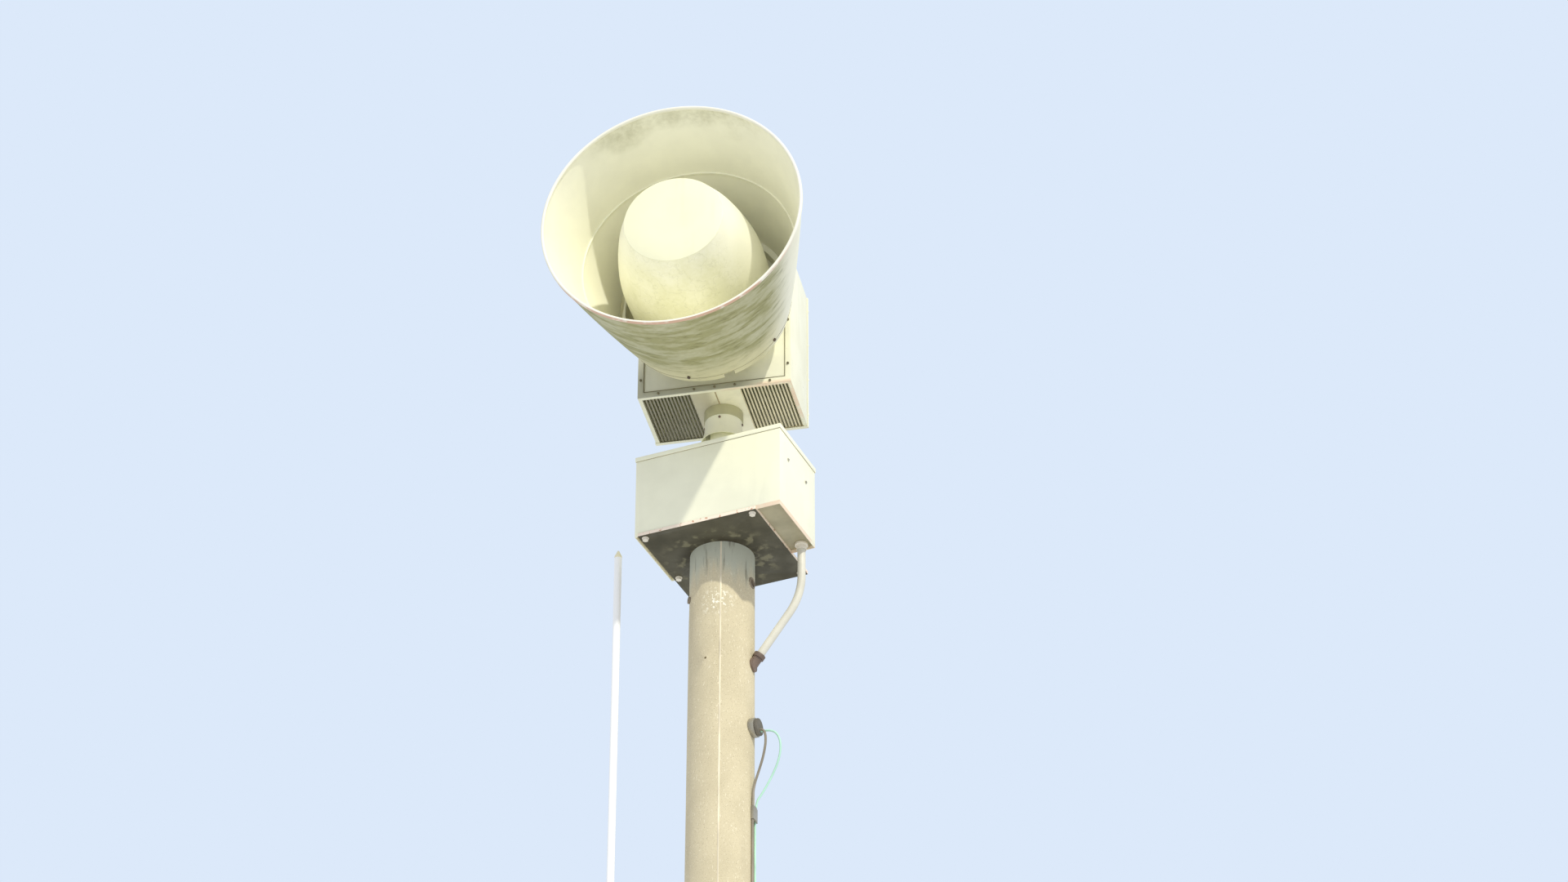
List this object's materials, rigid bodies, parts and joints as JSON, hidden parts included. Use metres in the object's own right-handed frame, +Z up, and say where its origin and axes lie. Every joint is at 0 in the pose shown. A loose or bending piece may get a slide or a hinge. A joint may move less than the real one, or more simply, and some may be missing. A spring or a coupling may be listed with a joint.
{
  "type": "civil defense siren tower",
  "caption": "Turning warning siren with a deep round horn and a domed centre, on a box and neck over a hollow concrete pole with a rod antenna.",
  "frame": {"origin": "centre of the pole's foot at ground level", "axes": "+Z up along the pole, horn facing -Y at rest"},
  "size_m": [0.9139, 1.0972, 11.6842],
  "materials": {
    "concrete": "cast concrete, weathered",
    "plate_steel": "dull dark paint",
    "zinc": "galvanised",
    "box_paint": "satin cream paint",
    "head_paint": "satin cream paint, weathered",
    "horn_shell": "cream moulded shell with algae",
    "conduit_paint": "satin",
    "dark_fitting": "dull",
    "dark_rubber": "dull",
    "grey_sheath": "plain",
    "green_sheath": "plain",
    "antenna_white": "satin"
  },
  "bodies": {
    "mast": {"pole_shaft": "concrete", "pole_sleeves": "dark_fitting", "base_plate": "plate_steel", "plate_bolts": "zinc", "base_box_floor": "box_paint", "base_box_shell": "box_paint", "base_box_lid": "box_paint", "neck_stub": "box_paint", "stub_flange": "box_paint", "conduit_connector": "zinc", "conduit": "conduit_paint", "pole_conduit_entry": "dark_fitting", "gland_body": "zinc", "gland_nut": "dark_rubber", "grey_cable": "grey_sheath", "green_earth_wire": "green_sheath", "cable_clips": "zinc", "antenna_rod": "antenna_white", "antenna_tip": "antenna_white", "antenna_ferrule": "zinc", "antenna_arm": "zinc", "antenna_clamps": "zinc", "antenna_band": "zinc"},
    "head": {"neck_collar": "head_paint", "collar_screws": "dark_fitting", "rain_skirt": "head_paint", "housing_shell": "head_paint", "housing_front_panel": "head_paint", "housing_rear_cover": "head_paint", "floor_strip": "head_paint", "grille_left": "head_paint", "grille_right": "head_paint", "throat_ring": "horn_shell", "bell_back_plate": "horn_shell", "bell_rear_band": "horn_shell", "rim_bolts": "dark_fitting", "bell_rear": "horn_shell", "bell_front": "horn_shell", "mouth_bead": "horn_shell", "dome_stem": "horn_shell", "dome_back": "horn_shell", "dome_shell": "horn_shell", "dome_face": "horn_shell"}
  },
  "joints": [
    {"name": "head_rotation", "type": "hinge", "parent": "mast", "child": "head", "pos_m": [0, 0, 10.9], "axis": [0, 0, 1], "continuous": true}
  ]
}
